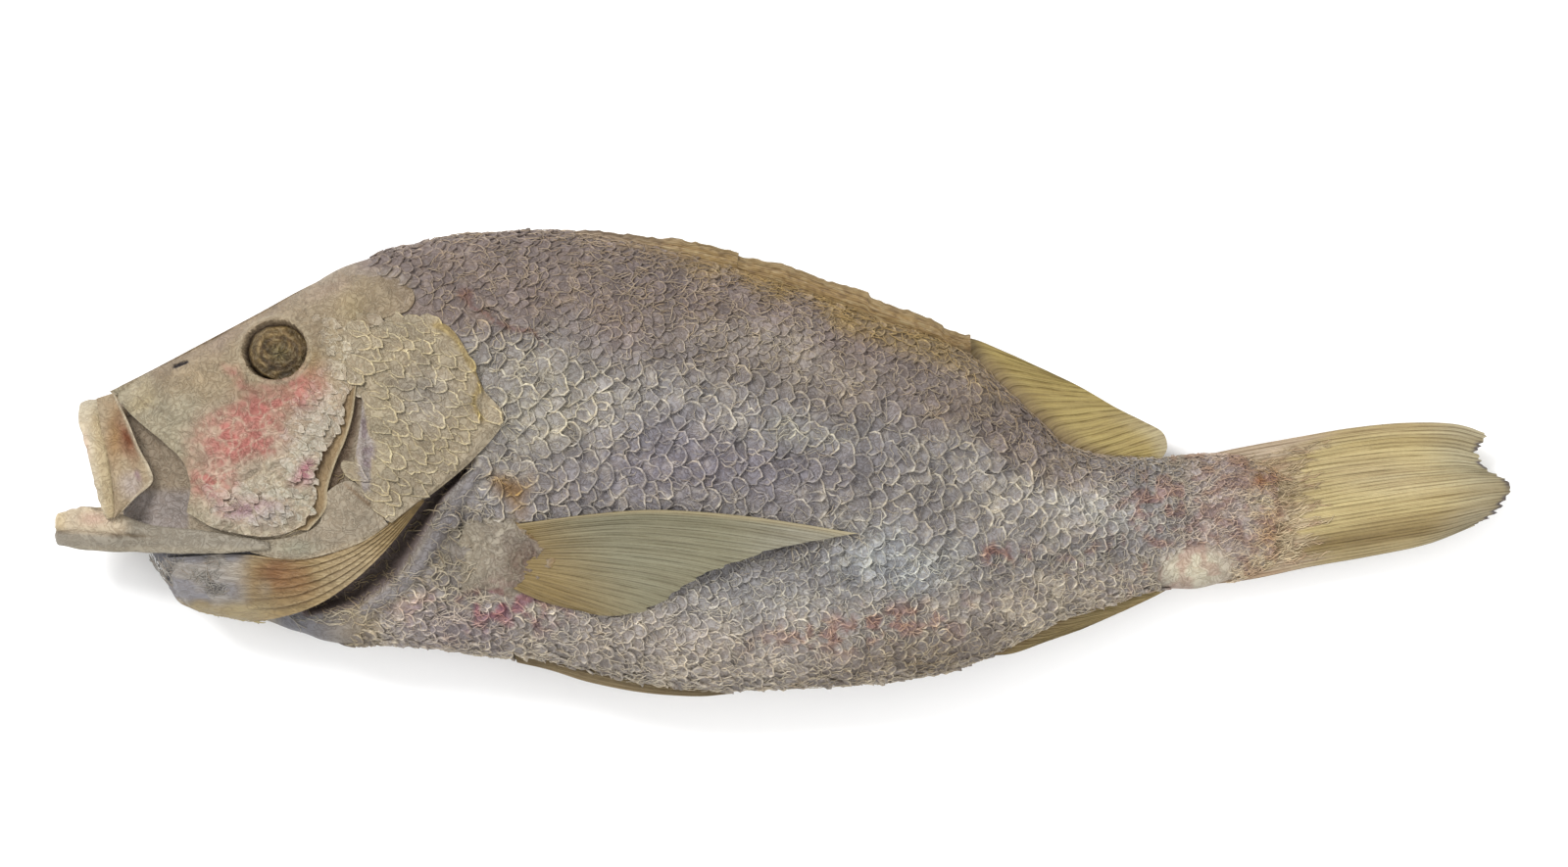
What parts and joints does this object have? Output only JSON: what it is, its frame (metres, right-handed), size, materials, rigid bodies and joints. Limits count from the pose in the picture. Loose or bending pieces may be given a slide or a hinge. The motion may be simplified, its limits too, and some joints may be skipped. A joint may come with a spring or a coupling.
{
  "type": "salted red fish",
  "caption": "Whole salted and dried red fish lying on its flank, with open mouth, bony head plates, gill covers, folded fins and a notched tail.",
  "frame": {"origin": "centre of the bounding box's base, under the middle of the flattened right flank", "axes": "+X towards the tail, -X towards the mouth, +Y towards the fish's back, +Z out of the left flank, up"},
  "size_m": [0.4194, 0.1328, 0.0478],
  "materials": {
    "skin": "matte",
    "head_plate": "satin",
    "jaw_bone": "satin",
    "gill_skin": "satin",
    "fin_skin": "satin",
    "eye_lens": "satin"
  },
  "bodies": {
    "root": {"body": "skin", "upper_jaw": "jaw_bone", "lower_jaw": "jaw_bone", "maxilla_left": "jaw_bone", "maxilla_right": "jaw_bone", "cheek_left": "head_plate", "cheek_right": "head_plate", "gill_cover_left": "head_plate", "gill_cover_right": "head_plate", "lower_gill_cover_left": "head_plate", "lower_gill_cover_right": "head_plate", "gill_skin_left": "gill_skin", "gill_skin_right": "gill_skin", "pectoral_fin_left": "fin_skin", "pectoral_fin_right": "fin_skin", "pelvic_fin_left": "fin_skin", "pelvic_fin_right": "fin_skin", "spiny_dorsal_fin": "fin_skin", "soft_dorsal_fin": "fin_skin", "anal_fin": "fin_skin", "tail_fin": "fin_skin", "eye_left": "eye_lens", "eye_right": "eye_lens"}
  },
  "joints": []
}
